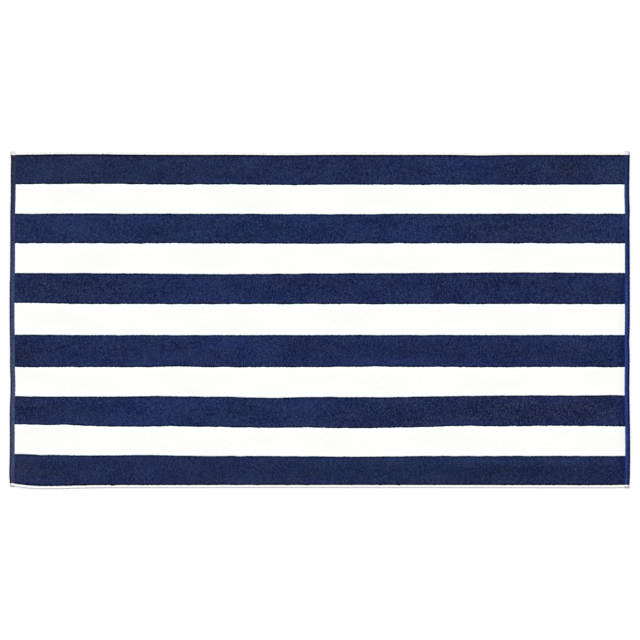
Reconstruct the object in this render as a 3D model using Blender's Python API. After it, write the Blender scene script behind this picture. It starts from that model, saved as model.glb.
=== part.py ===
"""A striped beach towel, laid out flat with its face up.

It is one length of woven cloth. The face is a short sheared pile in eleven lengthwise stripes.
Each short end is a flat-woven navy band, turned under and sewn. Each long side is a narrow white
edge, turned under in the same way.

Frame: metres, +Z up. X runs along the towel and Y across it. The origin is the middle of the flat
underside. A place "along" and "across" is on the cloth as it was woven, with straight lines. The
cloth then lies a few millimetres off those lines, where the hand that laid it out pulled it.
"""

import math
from typing import NamedTuple

import bmesh
import bpy


class Stripe(NamedTuple):
    """A lengthwise stripe: its yarn, and its width across the towel."""

    yarn: str
    width: float


class Pull(NamedTuple):
    """A place where the cloth lies off its straight lines, fading out over its reach."""

    along: float
    across: float
    reach_along: float
    reach_across: float
    shift_along: float
    shift_across: float


class Step(NamedTuple):
    """A line along a hem: its distance in from the edge, and the cloth's height there."""

    inset: float
    height: float


# Driving dimensions, in metres
LENGTH = 1.650  # over both end hems
END_HEM = 0.0128  # flat-woven band at each short end
SIDE_HEM = 0.0068  # white edge along each long side
PILE_TOP = 0.0036  # tips of the pile above the underside
HEM_TOP = 0.0026  # flat top of a hem above the underside
FOLD_ROUND = 0.0009  # roundness of the turned edge
STITCH_DIP = 0.0005  # how far the sewing draws a hem down
STITCH_INSET = 0.0019  # from the sewing out to the hem's inner edge
CORNER_BULK = 0.0005  # the turned layers that meet at a corner stand this much higher
PILE_SHOULDER = 0.0016  # width of the pile's rounded first rows beside a hem
PILE_BANK = 0.0060  # past this far in from a hem the pile is at its full height
SWELL = 0.0006  # soft rise and fall of the pile's face
SWELL_ALONG = 0.310  # length of one such wave along the towel
SWELL_ACROSS = 0.230  # and across it

# From the +Y side to the -Y side
STRIPES = (
    Stripe("navy", 0.0786),
    Stripe("white", 0.0786),
    Stripe("navy", 0.0782),
    Stripe("white", 0.0800),
    Stripe("navy", 0.0818),
    Stripe("white", 0.0829),
    Stripe("navy", 0.0851),
    Stripe("white", 0.0789),
    Stripe("navy", 0.0794),
    Stripe("white", 0.0786),
    Stripe("navy", 0.0782),
)
WIDTH = sum(stripe.width for stripe in STRIPES) + 2 * SIDE_HEM

PULLS = (
    # along, across, reach along, reach across, shift along, shift across
    Pull(-0.640, 0.412, 0.130, 0.120, 0.0000, 0.0020),
    Pull(-0.093, 0.365, 0.080, 0.120, 0.0000, -0.0015),
    Pull(0.075, 0.282, 0.110, 0.050, 0.0000, -0.0013),
    Pull(0.426, 0.440, 0.050, 0.050, 0.0000, -0.0014),
    Pull(0.000, 0.204, 0.170, 0.035, 0.0000, -0.0010),
    Pull(-0.253, 0.124, 0.250, 0.048, 0.0000, -0.0024),
    Pull(0.530, 0.124, 0.210, 0.045, 0.0000, 0.0019),
    Pull(-0.800, 0.030, 0.110, 0.060, 0.0000, 0.0033),
    Pull(-0.130, -0.204, 0.085, 0.045, 0.0000, -0.0028),
    Pull(0.150, -0.204, 0.120, 0.045, 0.0000, -0.0018),
    Pull(0.586, -0.204, 0.270, 0.045, 0.0000, 0.0032),
    Pull(-0.800, -0.322, 0.140, 0.060, 0.0000, 0.0078),
    Pull(0.030, -0.284, 0.270, 0.045, 0.0000, -0.0042),
    Pull(0.620, -0.284, 0.160, 0.040, 0.0000, 0.0020),
    Pull(-0.500, -0.362, 0.100, 0.035, 0.0000, 0.0017),
    Pull(0.075, -0.362, 0.130, 0.035, 0.0000, -0.0018),
    Pull(-0.720, -0.445, 0.080, 0.030, 0.0000, -0.0026),
    Pull(-0.825, -0.445, 0.036, 0.030, 0.0000, 0.0048),
    Pull(-0.825, 0.330, 0.100, 0.090, 0.0018, 0.0000),
    Pull(-0.825, 0.000, 0.100, 0.070, -0.0014, 0.0000),
    Pull(-0.825, -0.160, 0.100, 0.050, 0.0014, 0.0000),
    Pull(-0.825, -0.380, 0.100, 0.090, -0.0012, 0.0000),
    Pull(0.825, 0.330, 0.100, 0.090, -0.0015, 0.0000),
    Pull(0.825, -0.180, 0.100, 0.060, -0.0012, 0.0000),
    Pull(0.825, -0.350, 0.100, 0.080, 0.0010, 0.0000),
    Pull(0.825, -0.445, 0.040, 0.018, -0.0012, 0.0010),
    Pull(0.400, 0.362, 0.380, 0.030, 0.0000, -0.0009),
    Pull(-0.386, -0.125, 0.045, 0.026, 0.0000, 0.0019),
    Pull(0.140, -0.125, 0.110, 0.026, 0.0000, 0.0015),
    Pull(-0.426, -0.204, 0.055, 0.026, 0.0000, 0.0020),
    Pull(0.780, -0.204, 0.050, 0.026, 0.0000, 0.0020),
    Pull(-0.666, -0.285, 0.055, 0.026, 0.0000, 0.0026),
    Pull(-0.386, -0.285, 0.080, 0.026, 0.0000, 0.0014),
    Pull(-0.035, -0.285, 0.045, 0.026, 0.0000, 0.0023),
    Pull(0.370, -0.285, 0.080, 0.026, 0.0000, 0.0022),
    Pull(-0.745, -0.362, 0.030, 0.026, 0.0000, -0.0016),
    Pull(-0.440, -0.362, 0.070, 0.026, 0.0000, 0.0014),
    Pull(0.000, -0.4475, 0.900, 0.009, 0.0000, 0.0020),
    Pull(0.000, 0.4475, 0.900, 0.009, 0.0000, 0.0018),
    Pull(-0.810, -0.240, 0.030, 0.140, 0.0000, 0.0012),
    Pull(-0.825, 0.425, 0.100, 0.026, 0.0014, 0.0000),
    Pull(-0.825, 0.285, 0.100, 0.040, -0.0011, 0.0000),
    Pull(-0.825, 0.080, 0.100, 0.045, -0.0010, 0.0000),
    Pull(-0.825, -0.130, 0.100, 0.035, -0.0013, 0.0000),
    Pull(-0.825, -0.255, 0.100, 0.050, -0.0010, 0.0000),
    Pull(-0.825, -0.410, 0.100, 0.026, -0.0012, 0.0000),
    Pull(0.825, 0.295, 0.100, 0.022, 0.0011, 0.0000),
    Pull(0.825, -0.056, 0.100, 0.025, -0.0013, 0.0000),
)

# The two yarns: name, colour and roughness, in the order of the towel's material slots
YARNS = (
    ("navy", (0.018, 0.027, 0.082), 0.92),
    ("white", (0.900, 0.900, 0.880), 0.88),
)

# Divisions of the surface
SPANS_ALONG = 48
SPANS_PER_STRIPE = 3
SHARP_ANGLE = math.radians(50)


def hem_steps(hem: float) -> tuple[Step, ...]:
    """The section of a hem of this width, from its turned edge up to the full pile."""
    return (
        Step(0.0, HEM_TOP / 2),
        Step(FOLD_ROUND, HEM_TOP - FOLD_ROUND / 4),
        Step(hem / 2, HEM_TOP),
        Step(hem - STITCH_INSET, HEM_TOP - STITCH_DIP),
        Step(hem, HEM_TOP),
        Step(hem + PILE_SHOULDER, PILE_TOP - SWELL),
        Step(hem + PILE_BANK, PILE_TOP),
    )


def height_inside(inset: float, hem: float) -> float:
    """The cloth's height this far in from an edge, by the hem's section."""
    steps = hem_steps(hem)
    for outer, inner in zip(steps, steps[1:]):
        if inset <= inner.inset:
            share = (inset - outer.inset) / (inner.inset - outer.inset)
            return outer.height + share * (inner.height - outer.height)
    return PILE_TOP


def hem_share(inset: float, hem: float) -> float:
    """One at the middle of a hem's width, falling to nothing at its two edges."""
    return max(0.0, 1 - abs(2 * inset / hem - 1))


def swell(along: float, across: float) -> float:
    """The soft rise and fall of the pile's face as it lies."""
    long_wave = math.sin(math.tau * (along / SWELL_ALONG + across / WIDTH))
    cross_wave = math.sin(math.tau * (across / SWELL_ACROSS - along / LENGTH))
    return SWELL * long_wave * cross_wave


def face_height(along: float, across: float) -> float:
    """Height of the face: the lower of an end's section and a side's, the swell and the corners."""
    from_end = LENGTH / 2 - abs(along)
    from_side = WIDTH / 2 - abs(across)
    height = min(height_inside(from_end, END_HEM), height_inside(from_side, SIDE_HEM))
    height += CORNER_BULK * hem_share(from_end, END_HEM) * hem_share(from_side, SIDE_HEM)
    pile_share = max(0.0, (height - HEM_TOP) / (PILE_TOP - HEM_TOP))
    return height + min(pile_share, 1.0) * swell(along, across)


def lying_place(along: float, across: float) -> tuple[float, float]:
    """Where a place on the woven cloth lies, once each pull has moved it."""
    x = along
    y = across
    for pull in PULLS:
        far_along = (along - pull.along) / pull.reach_along
        far_across = (across - pull.across) / pull.reach_across
        share = math.exp(-(far_along**2) - far_across**2)
        x += share * pull.shift_along
        y += share * pull.shift_across
    return x, y


def lines_over(size: float, hem: float, marks: list[float], spans: int) -> list[float]:
    """Places of the surface's lines over one side of the towel, from its low edge to its high one.

    They follow the section of the hem at each edge, and divide each stretch between marks into
    equal spans.
    """
    low = [step.inset - size / 2 for step in hem_steps(hem)]
    marks = [low[-1], *marks, -low[-1]]
    middle = [
        start + (end - start) * number / spans
        for start, end in zip(marks, marks[1:])
        for number in range(1, spans + 1)
    ]
    return low + middle + [-place for place in reversed(low[:-1])]


def stripe_marks() -> list[float]:
    """Places across the towel where two stripes meet, from -Y to +Y."""
    marks = [SIDE_HEM - WIDTH / 2]
    for stripe in reversed(STRIPES):
        marks.append(marks[-1] + stripe.width)
    return marks[1:-1]


def yarn_at(along: float, across: float) -> str:
    """The yarn that shows at a place: white side hems, then navy end hems, then the stripes."""
    if abs(across) > WIDTH / 2 - SIDE_HEM:
        return "white"
    if abs(along) > LENGTH / 2 - END_HEM:
        return "navy"
    return STRIPES[-1 - sum(mark < across for mark in stripe_marks())].yarn


def yarn_material(name: str, colour: tuple[float, float, float], roughness: float) -> bpy.types.Material:
    """A soft matt cotton in one colour."""
    material = bpy.data.materials.new(name)
    material.use_nodes = True
    shader = material.node_tree.nodes["Principled BSDF"]
    shader.inputs["Base Color"].default_value = (*colour, 1.0)
    shader.inputs["Roughness"].default_value = roughness
    shader.inputs["Metallic"].default_value = 0.0
    material.diffuse_color = (*colour, 1.0)
    return material


def colour_faces(bm: bmesh.types.BMesh, along: list[float], across: list[float]) -> None:
    """Gives each face of the flat grid the yarn at its middle."""
    slots = [name for name, _, _ in YARNS]
    for face in bm.faces:
        centre = face.calc_center_median()
        column = int((centre.x + 1) / 2 * (len(along) - 1))
        row = int((centre.y + 1) / 2 * (len(across) - 1))
        middle_along = (along[column] + along[column + 1]) / 2
        middle_across = (across[row] + across[row + 1]) / 2
        face.material_index = slots.index(yarn_at(middle_along, middle_across))


def lay_out(bm: bmesh.types.BMesh, along: list[float], across: list[float]) -> None:
    """Moves each point of the flat grid to its line along and its line across, as the cloth lies."""
    for vert in bm.verts:
        column = round((vert.co.x + 1) / 2 * (len(along) - 1))
        row = round((vert.co.y + 1) / 2 * (len(across) - 1))
        x, y = lying_place(along[column], across[row])
        vert.co = (x, y, face_height(along[column], across[row]))


def add_underside(bm: bmesh.types.BMesh) -> None:
    """Closes the cloth below with a flat face, drawn in all round under the turned edge."""
    grown = bmesh.ops.extrude_face_region(bm, geom=bm.faces[:])
    under = [item for item in grown["geom"] if isinstance(item, bmesh.types.BMVert)]
    for vert in under:
        vert.co.x *= 1 - FOLD_ROUND / (LENGTH / 2)
        vert.co.y *= 1 - FOLD_ROUND / (WIDTH / 2)
        vert.co.z = 0.0
    bmesh.ops.recalc_face_normals(bm, faces=bm.faces[:])


def make_towel() -> bpy.types.Object:
    """The towel: a grid laid out over the lines along and across, and closed below."""
    along = lines_over(LENGTH, END_HEM, [], SPANS_ALONG)
    across = lines_over(WIDTH, SIDE_HEM, stripe_marks(), SPANS_PER_STRIPE)
    bm = bmesh.new()
    bmesh.ops.create_grid(bm, x_segments=len(along) - 1, y_segments=len(across) - 1, size=1.0)
    colour_faces(bm, along, across)
    lay_out(bm, along, across)
    add_underside(bm)
    mesh = bpy.data.meshes.new("towel")
    bm.to_mesh(mesh)
    bm.free()
    for name, colour, roughness in YARNS:
        mesh.materials.append(yarn_material(name + "_cotton", colour, roughness))
    mesh.shade_smooth()
    mesh.set_sharp_from_angle(angle=SHARP_ANGLE)
    towel = bpy.data.objects.new("towel", mesh)
    bpy.context.scene.collection.objects.link(towel)
    return towel


def main() -> None:
    """Clears the scene and makes the towel."""
    for old in list(bpy.data.objects):
        bpy.data.objects.remove(old, do_unlink=True)
    make_towel()


main()
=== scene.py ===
"""The looks of a striped beach towel that lies flat with its face up.

The woven cloth is one sheet with looped pile on its back. On its face stand eleven stripes of sheared
pile, navy and white by turns. A folded navy hem closes each short end and a folded white one each long
side, each with a row of lockstitches. Sizes are metres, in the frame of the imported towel: +X along it,
+Y across it, +Z up. "Along" and "across" are places on the cloth as woven, before it was laid out.
"""

import logging
import math
from dataclasses import dataclass, field
from enum import Enum, IntEnum
from typing import NamedTuple, Sequence

import bpy
import numpy as np
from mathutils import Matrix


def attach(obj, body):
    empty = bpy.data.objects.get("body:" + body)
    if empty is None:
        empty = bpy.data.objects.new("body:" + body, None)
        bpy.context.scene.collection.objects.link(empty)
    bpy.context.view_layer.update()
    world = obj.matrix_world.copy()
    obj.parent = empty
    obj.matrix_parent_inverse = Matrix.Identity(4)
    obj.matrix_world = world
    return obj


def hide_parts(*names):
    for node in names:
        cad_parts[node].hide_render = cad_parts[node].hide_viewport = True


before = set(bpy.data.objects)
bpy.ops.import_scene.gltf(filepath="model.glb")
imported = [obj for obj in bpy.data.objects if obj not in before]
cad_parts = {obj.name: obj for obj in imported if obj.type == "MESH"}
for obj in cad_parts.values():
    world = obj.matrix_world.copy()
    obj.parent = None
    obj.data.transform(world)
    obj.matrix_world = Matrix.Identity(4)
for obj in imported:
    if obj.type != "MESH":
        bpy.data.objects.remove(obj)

logging.basicConfig(level=logging.INFO, format="%(message)s")
LOG = logging.getLogger("towel")

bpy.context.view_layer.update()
BODY = "root"
NODE = "towel"
MM = 0.001
CLOTH_MAP = "cloth"
BAKE_MAP = "OFBake"
MAP_GAP = 0.006

Triple = tuple[float, float, float]
Floats = np.ndarray
Insets = tuple[float, ...]
Passes = tuple[tuple[int, int], ...]
Piece = bpy.types.Object
Material = bpy.types.Material
Socket = bpy.types.NodeSocket


# ---------------------------------------------------------------- how the towel is woven and lies


class Yarn(Enum):
    """The two yarns, each in its own dye, with its slot in the record."""

    NAVY = "navy_cotton"
    WHITE = "white_cotton"


class Draw(IntEnum):
    """What is left to chance, each with the seed that its draws start from."""

    PILE = 4711
    BORDER = 4811
    FOLD = 5211
    RIPPLE = 5311
    STITCH = 5411


class Stripe(NamedTuple):
    """A lengthwise stripe: its yarn, and its width across the towel."""

    yarn: Yarn
    width: float


class Pull(NamedTuple):
    """A place where the cloth lies off its straight lines, fading out over its reach."""

    along: float
    across: float
    reach_along: float
    reach_across: float
    shift_along: float
    shift_across: float


class Stop(NamedTuple):
    """A colour, and its place from the -Y side, 0, to the +Y side, 1."""

    place: float
    colour: Triple


class Patch(NamedTuple):
    """A place where the pile is lighter, bluer, greener or coarser, or less so: mostly where the nap lies
    another way, and in one place a painted shade.
    """

    along: float
    across: float
    reach_along: float
    reach_across: float
    tone: float
    hue: float
    cast: float
    grain: float


# From the +Y side to the -Y side, navy first
STRIPES = tuple(
    Stripe((Yarn.NAVY, Yarn.WHITE)[number % 2], width)
    for number, width in enumerate(
        (0.0786, 0.0786, 0.0782, 0.08, 0.0818, 0.0829, 0.0851, 0.0789, 0.0794, 0.0786, 0.0782)
    )
)

PULLS = tuple(Pull(*row) for row in (
    # along, across, reach along, reach across, shift along, shift across
    (-0.64, 0.412, 0.13, 0.12, 0, 0.002),
    (-0.093, 0.365, 0.08, 0.12, 0, -0.0015),
    (0.075, 0.282, 0.11, 0.05, 0, -0.0013),
    (0.426, 0.44, 0.05, 0.05, 0, -0.0014),
    (0, 0.204, 0.17, 0.035, 0, -0.001),
    (-0.253, 0.124, 0.25, 0.048, 0, -0.0024),
    (0.53, 0.124, 0.21, 0.045, 0, 0.0019),
    (-0.8, 0.03, 0.11, 0.06, 0, 0.0033),
    (-0.13, -0.204, 0.085, 0.045, 0, -0.0028),
    (0.15, -0.204, 0.12, 0.045, 0, -0.0018),
    (0.586, -0.204, 0.27, 0.045, 0, 0.0032),
    (-0.8, -0.322, 0.14, 0.06, 0, 0.0078),
    (0.03, -0.284, 0.27, 0.045, 0, -0.0042),
    (0.62, -0.284, 0.16, 0.04, 0, 0.002),
    (-0.5, -0.362, 0.1, 0.035, 0, 0.0017),
    (0.075, -0.362, 0.13, 0.035, 0, -0.0018),
    (-0.72, -0.445, 0.08, 0.03, 0, -0.0026),
    (-0.825, -0.445, 0.036, 0.03, 0, 0.0048),
    (-0.825, 0.33, 0.1, 0.09, 0.0018, 0),
    (-0.825, 0, 0.1, 0.07, -0.0014, 0),
    (-0.825, -0.16, 0.1, 0.05, 0.0014, 0),
    (-0.825, -0.38, 0.1, 0.09, -0.0012, 0),
    (0.825, 0.33, 0.1, 0.09, -0.0015, 0),
    (0.825, -0.18, 0.1, 0.06, -0.0012, 0),
    (0.825, -0.35, 0.1, 0.08, 0.001, 0),
    (0.825, -0.445, 0.04, 0.018, -0.0012, 0.001),
    (0.4, 0.362, 0.38, 0.03, 0, -0.0009),
    (-0.386, -0.125, 0.045, 0.026, 0, 0.0019),
    (0.14, -0.125, 0.11, 0.026, 0, 0.0015),
    (-0.426, -0.204, 0.055, 0.026, 0, 0.002),
    (0.78, -0.204, 0.05, 0.026, 0, 0.002),
    (-0.666, -0.285, 0.055, 0.026, 0, 0.0026),
    (-0.386, -0.285, 0.08, 0.026, 0, 0.0014),
    (-0.035, -0.285, 0.045, 0.026, 0, 0.0023),
    (0.37, -0.285, 0.08, 0.026, 0, 0.0022),
    (-0.745, -0.362, 0.03, 0.026, 0, -0.0016),
    (-0.44, -0.362, 0.07, 0.026, 0, 0.0014),
    (0, -0.4475, 0.9, 0.009, 0, 0.002),
    (0, 0.4475, 0.9, 0.009, 0, 0.0018),
    (-0.81, -0.24, 0.03, 0.14, 0, 0.0012),
    (-0.825, 0.425, 0.1, 0.026, 0.0014, 0),
    (-0.825, 0.285, 0.1, 0.04, -0.0011, 0),
    (-0.825, 0.08, 0.1, 0.045, -0.001, 0),
    (-0.825, -0.13, 0.1, 0.035, -0.0013, 0),
    (-0.825, -0.255, 0.1, 0.05, -0.001, 0),
    (-0.825, -0.41, 0.1, 0.026, -0.0012, 0),
    (0.825, 0.295, 0.1, 0.022, 0.0011, 0),
    (0.825, -0.056, 0.1, 0.025, -0.0013, 0),
))

PATCHES = tuple(Patch(*row) for row in (
    # along, across, reach along, reach across, tone, hue, cast, grain
    (-0.62, 0.4, 0.38, 0.05, 0.12, -1, 0.7, -0.25),
    (-0.43, 0.4, 0.004, 0.05, -0.3, 0, 0, 0),
    (-0.4, 0.4, 0.05, 0.05, 0.15, 0, 0, 0),
    (0.4, 0.4, 0.17, 0.05, 0, 0.5, -0.1, 0),
    (0.38, 0.425, 0.12, 0.014, 0.3, 0.4, 0, 0),
    (0.515, 0.4, 0.045, 0.026, -0.5, -1.4, -0.1, 0.3),
    (0.665, 0.4, 0.04, 0.026, -0.4, -1.8, 0.1, 0.5),
    (0.6, 0.405, 0.03, 0.04, 0.25, -0.3, 0.6, 0.2),
    (0.78, 0.4, 0.04, 0.05, 0.35, -0.6, 1.1, 0.7),
    (-0.2, 0.242, 0.62, 0.05, 0, 0.6, 0.6, 0),
    (-0.71, 0.242, 0.14, 0.045, 0.35, 0.1, 0.1, 0),
    (-0.635, 0.235, 0.025, 0.03, 0.25, 0.6, 0.3, 0),
    (-0.335, 0.242, 0.05, 0.03, 0.05, 0, 0.5, 0),
    (-0.13, 0.242, 0.14, 0.04, -0.15, 0, 0.3, 0),
    (0.245, 0.228, 0.05, 0.02, 0.2, 0.8, -0.2, 0.1),
    (0.26, 0.242, 0.13, 0.045, 0, 0.5, 0, 0.1),
    (-0.04, 0.242, 0.04, 0.04, 0.15, 0.4, 0, 0),
    (0.51, 0.245, 0.17, 0.04, -0.12, -0.6, -0.4, 0.35),
    (0.75, 0.242, 0.07, 0.05, 0.3, 0.1, -0.2, 0.5),
    (0.79, 0.262, 0.03, 0.02, 0.4, 1, 0, 0.6),
    (-0.7, 0.084, 0.15, 0.045, 0, -0.8, -0.1, 0.25),
    (0.2, 0.084, 0.7, 0.05, -0.08, 0.25, -0.4, 0.1),
    (-0.44, 0.084, 0.04, 0.04, 0.15, 0.6, -0.3, 0),
    (0.2, 0.084, 0.04, 0.04, 0, 0.5, -0.3, 0),
    (-0.28, 0.108, 0.1, 0.018, 0.3, 0.8, 0.5, 0),
    (-0.05, 0.104, 0.13, 0.016, -0.25, -0.5, -0.2, 0.1),
    (-0.21, 0.056, 0.32, 0.014, 0.15, 0.8, -0.2, 0),
    (0.35, 0.084, 0.13, 0.05, -0.15, 0, 0, 0.1),
    (0.33, -0.08, 0.16, 0.04, -0.12, 0, 0, 0),
    (-0.8, -0.08, 0.05, 0.05, -0.3, -1.5, 0.2, 0.1),
    (0, -0.083, 0.9, 0.05, 0, 0.4, -0.4, -0.05),
    (-0.48, -0.112, 0.17, 0.012, 0.15, 0.5, -0.1, 0),
    (0.22, -0.113, 0.26, 0.01, 0.2, 1, 0, 0),
    (-0.235, -0.058, 0.075, 0.022, 0.4, 1.5, -0.5, 0),
    (-0.145, -0.085, 0.03, 0.03, 0.3, 0.4, 0.3, 0),
    (0.19, -0.075, 0.25, 0.02, -0.15, -0.4, -0.2, 0),
    (0.68, -0.06, 0.12, 0.016, 0.05, 0.2, 0.7, 0),
    (0.62, -0.095, 0.2, 0.02, -0.15, -0.4, 0, 0),
    (-0.8, -0.235, 0.05, 0.04, -0.25, -1.2, -0.2, 0.2),
    (-0.3, -0.243, 0.3, 0.05, 0.08, 0.7, -0.1, 0.1),
    (-0.43, -0.22, 0.11, 0.016, 0.2, 0.7, -0.4, 0),
    (-0.49, -0.268, 0.12, 0.014, 0.25, 0.9, -0.2, 0),
    (-0.25, -0.243, 0.11, 0.03, 0, -0.2, 0.6, 0),
    (-0.03, -0.221, 0.08, 0.015, 0.15, 0.7, -0.3, 0),
    (0.2, -0.247, 0.13, 0.04, -0.15, -0.4, 0.1, 0.3),
    (0.435, -0.234, 0.05, 0.026, -0.6, -0.9, -0.1, 0.3),
    (0.277, -0.247, 0.03, 0.04, -0.3, 0, 0.2, 0.2),
    (0.69, -0.242, 0.09, 0.018, -0.45, -1.2, -0.1, 0.3),
    (0.58, -0.247, 0.26, 0.05, 0, -0.7, -0.4, 0.45),
    (0, -0.402, 0.9, 0.05, 0, -0.4, 0.1, -0.3),
    (-0.79, -0.39, 0.05, 0.03, 0.05, -1.2, -0.2, 0),
    (-0.7, -0.402, 0.15, 0.05, 0.15, -0.2, 0.2, 0),
    (-0.46, -0.402, 0.13, 0.05, 0, 0.1, -0.3, 0),
    (0.437, -0.402, 0.04, 0.05, -0.05, -0.5, 0.3, 0),
    (0.2, -0.402, 0.34, 0.05, -0.05, -0.1, 0.8, 0),
    (0.46, -0.376, 0.34, 0.009, 0.4, 0.5, 0.4, 0),
    (0.62, -0.415, 0.26, 0.034, -0.3, -0.8, 0.1, 0),
    # Painted shade: a dark band in the pile beside the right end hem
    (0.8065, -0.12, 0.009, 0.25, -1.5, 2.9, -1, 0),
))


@dataclass(frozen=True)
class TowelPlan:
    """The towel's sizes, and how a place on the woven cloth lies on the ground."""

    length: float = 1.650
    end_hem: float = 0.0128
    side_hem: float = 0.0068
    pile_top: float = 0.0036
    pile_lip: float = 0.00245
    pile_bank: float = 0.0016
    hem_top: float = 0.0026
    ground_top: float = 0.0019
    swell: float = 0.0006
    swell_along: float = 0.310
    swell_across: float = 0.230

    @property
    def width(self) -> float:
        """Finished width over both side hems."""
        return sum(stripe.width for stripe in STRIPES) + 2 * self.side_hem

    @property
    def marks(self) -> list[float]:
        """Places across the towel of the stripes' edges, from +Y to -Y."""
        edges = [self.width / 2 - self.side_hem]
        for stripe in STRIPES:
            edges.append(edges[-1] - stripe.width)
        return edges

    def place(self, along: Floats, across: Floats) -> tuple[Floats, Floats]:
        """Where places on the woven cloth lie, once each pull has moved them.

        Args:
            along: Places along the cloth.
            across: Places across the cloth.

        Returns:
            Their X and their Y.
        """
        x = np.array(along, dtype=float)
        y = np.array(across, dtype=float)
        for pull in PULLS:
            share = bump_of(along, across, pull)
            x = x + share * pull.shift_along
            y = y + share * pull.shift_across
        return x, y

    def inside(self, along: Floats, across: Floats) -> tuple[Floats, Floats]:
        """How far places lie inside the inner edges of the end hems and of the side hems."""
        from_end = self.length / 2 - self.end_hem - np.abs(along)
        from_side = self.width / 2 - self.side_hem - np.abs(across)
        return from_end, from_side

    def bank(self, along: Floats, across: Floats) -> Floats:
        """How far the pile has risen from its lip: zero beside a hem, and one well inside."""
        from_end, from_side = self.inside(along, across)
        at_end = 1 - np.exp(-np.maximum(from_end, 0) / self.pile_bank)
        return at_end * (1 - np.exp(-np.maximum(from_side, 0) / self.pile_bank))

    def rise(self, along: Floats, across: Floats) -> Floats:
        """The soft rise and fall of the cloth as it lies, which fades out towards its hems."""
        long_wave = np.sin(math.tau * (along / self.swell_along + across / self.width))
        cross_wave = np.sin(math.tau * (across / self.swell_across - along / self.length))
        return self.bank(along, across) * self.swell * long_wave * cross_wave

    def pile_height(self, along: Floats, across: Floats) -> Floats:
        """Height of the pile's face, which banks down to its lip beside a hem."""
        banked = (self.pile_top - self.pile_lip) * self.bank(along, across)
        return self.pile_lip + banked + self.rise(along, across)


def bump_of(along: Floats, across: Floats, spot: Pull | Patch) -> Floats:
    """How much of a pull or a patch reaches each place: one at its middle, fading over its reach."""
    far_along = (along - spot.along) / spot.reach_along
    far_across = (across - spot.across) / spot.reach_across
    return np.exp(-(far_along**2) - far_across**2)


def patched_at(along: Floats, across: Floats, quality: str) -> Floats:
    """The sum of the patches at each place, the painted shade beside the right end hem among them.

    Args:
        along: Places along the cloth.
        across: Places across the cloth.
        quality: The patches' tone, hue, cast or grain.

    Returns:
        How much of it each place has.
    """
    return sum(getattr(patch, quality) * bump_of(along, across, patch) for patch in PATCHES)


# ---------------------------------------------------------------- making and dressing meshes


def deselect_all() -> None:
    """Leaves nothing selected, so that an operator acts on the new piece alone."""
    if bpy.context.object and bpy.context.object.mode != "OBJECT":
        bpy.ops.object.mode_set(mode="OBJECT")
    bpy.ops.object.select_all(action="DESELECT")


def name_piece(name: str) -> Piece:
    """Names the object that an operator has just made, and its mesh."""
    piece = bpy.context.object
    piece.name = name
    piece.data.name = name
    return piece


def points_of(piece: Piece) -> Floats:
    """A piece's points, one row each."""
    flat = np.empty(len(piece.data.vertices) * 3)
    piece.data.vertices.foreach_get("co", flat)
    return flat.reshape(-1, 3)


def flattened(values: Floats) -> Floats:
    """Values in one row, as a mesh takes them."""
    return np.ascontiguousarray(values, dtype=np.float32).ravel()


def move_points(piece: Piece, *axes: Floats) -> None:
    """Puts a piece's points at these X, Y and Z."""
    piece.data.vertices.foreach_set("co", flattened(np.stack(axes, axis=1)))
    piece.data.update()


def add_attribute(piece: Piece, name: str, values: Floats) -> None:
    """Gives a piece one number at each of its points, for its finish to read."""
    piece.data.attributes.new(name, "FLOAT", "POINT").data.foreach_set("value", flattened(values))


def add_map(piece: Piece, name: str, places: Floats) -> None:
    """Gives a piece a UV map, with one row of places for each corner of its faces."""
    piece.data.uv_layers.new(name=name, do_init=False).data.foreach_set("uv", flattened(places))


def add_cloth_map(piece: Piece, along: Floats, across: Floats) -> None:
    """Gives a piece the map that its finish reads, with each point's place on the woven cloth."""
    add_map(piece, CLOTH_MAP, np.stack([along, across], axis=1)[corner_points(piece)])


def corner_points(piece: Piece) -> np.ndarray:
    """The number of the point at each corner of a piece's faces."""
    corners = np.empty(len(piece.data.loops), dtype=np.int64)
    piece.data.loops.foreach_get("vertex_index", corners)
    return corners


def corner_faces(piece: Piece) -> np.ndarray:
    """The number of the face at each corner of a piece's faces."""
    sizes = np.empty(len(piece.data.polygons), dtype=np.int64)
    piece.data.polygons.foreach_get("loop_total", sizes)
    return np.repeat(np.arange(len(sizes)), sizes)


def new_grid(name: str, columns: int, rows: int) -> Piece:
    """Makes a flat grid, two units wide and deep, with so many faces along X and Y."""
    deselect_all()
    bpy.ops.mesh.primitive_grid_add(x_subdivisions=columns, y_subdivisions=rows, size=2)
    return name_piece(name)


def on_top(unit: Floats) -> np.ndarray:
    """Which points of a unit grid are on its face, and not on a floor one unit down."""
    return unit[:, 2] > -0.5


def face_outwards() -> None:
    """Turns every face of the mesh in edit mode outwards."""
    bpy.ops.mesh.select_all(action="SELECT")
    bpy.ops.mesh.normals_make_consistent(inside=False)


def closed_grid(name: str, columns: int, rows: int) -> Piece:
    """A unit grid with walls one unit down all round it and a floor across them.

    Args:
        name: The piece's name.
        columns: Faces along X.
        rows: Faces along Y.

    Returns:
        The closed piece, two units wide and deep.
    """
    piece = new_grid(name, columns, rows)
    bpy.ops.object.mode_set(mode="EDIT")
    bpy.ops.mesh.select_mode(type="EDGE")
    bpy.ops.mesh.select_all(action="SELECT")
    bpy.ops.mesh.region_to_loop()
    bpy.ops.mesh.extrude_edges_move(TRANSFORM_OT_translate={"value": (0, 0, -1.0)})
    bpy.ops.mesh.edge_face_add()
    face_outwards()
    bpy.ops.object.mode_set(mode="OBJECT")
    return piece


def lines_between(low: float, high: float, pitch: float, after: Insets, before: Insets) -> Floats:
    """Lines from one place to another at about a pitch, closer together at its ends.

    Args:
        low: The first place.
        high: The last place.
        pitch: The space between lines.
        after: How far past the first place its close lines lie.
        before: How far before the last place its close lines lie.

    Returns:
        The places, rising.
    """
    first = [low + inset for inset in after]
    last = [high - inset for inset in reversed(before)]
    count = round((last[0] - first[-1]) / pitch)
    return np.array([*first, *np.linspace(first[-1], last[0], count + 1)[1:-1], *last])


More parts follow.
